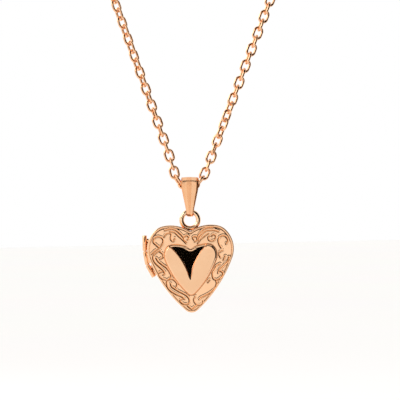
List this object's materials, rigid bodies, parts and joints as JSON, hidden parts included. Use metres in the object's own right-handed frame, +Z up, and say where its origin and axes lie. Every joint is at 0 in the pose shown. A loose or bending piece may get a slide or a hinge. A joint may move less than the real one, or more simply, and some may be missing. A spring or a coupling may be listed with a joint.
{
  "type": "locket",
  "caption": "Heart-shaped hinged locket with a raised dome and scroll border, on a tapered bail and a fine cable chain.",
  "frame": {"origin": "centre of the bail's eye, where the chain carries the pendant", "axes": "+Z up along the hanging pendant, the front of the locket faces -Y, +X to the viewer's right"},
  "size_m": [0.0434, 0.0051, 0.0771],
  "materials": {
    "rose_gold": "polished rose gold plate",
    "spring_steel": "drawn wire",
    "clear_window": "clear sheet",
    "photo_card": "plain card"
  },
  "bodies": {
    "chain": {"chain_middle": "rose_gold", "chain_left": "rose_gold", "chain_right": "rose_gold", "jump_ring_left": "rose_gold", "jump_ring_right": "rose_gold", "clasp_body": "rose_gold", "clasp_spring": "spring_steel", "chain_tag": "rose_gold"},
    "clasp_lever": {"clasp_lever": "rose_gold"},
    "bail": {"bail": "rose_gold"},
    "locket_back": {"top_ring": "rose_gold", "back_cover": "rose_gold", "back_knuckle_upper": "rose_gold", "back_knuckle_lower": "rose_gold", "hinge_pin": "rose_gold", "inner_lip": "rose_gold", "snap_bead": "rose_gold", "frame_back": "rose_gold", "window_back": "clear_window", "photo_back": "photo_card"},
    "locket_front": {"front_cover": "rose_gold", "front_knuckle": "rose_gold", "frame_front": "rose_gold", "window_front": "clear_window", "photo_front": "photo_card"}
  },
  "joints": [
    {"name": "bail_swing", "type": "hinge", "parent": "chain", "child": "bail", "pos_m": [0, 0, 0], "axis": [1, 0, 0], "range_deg": [-90, 90]},
    {"name": "pendant_swing", "type": "hinge", "parent": "bail", "child": "locket_back", "pos_m": [0, 0, -0.00567], "axis": [1, 0, 0], "range_deg": [-90, 90]},
    {"name": "cover_hinge", "type": "hinge", "parent": "locket_back", "child": "locket_front", "pos_m": [-0.00916, -0.0005, -0.01532], "axis": [-0.1771, 0, 0.9842], "range_deg": [-175, 0]},
    {"name": "clasp_slide", "type": "hinge", "parent": "chain", "child": "clasp_lever", "pos_m": [-0.01901, 0, 0.0476], "axis": [0, -1, 0], "range_deg": [0, 45], "deforming": ["clasp_spring"]}
  ]
}
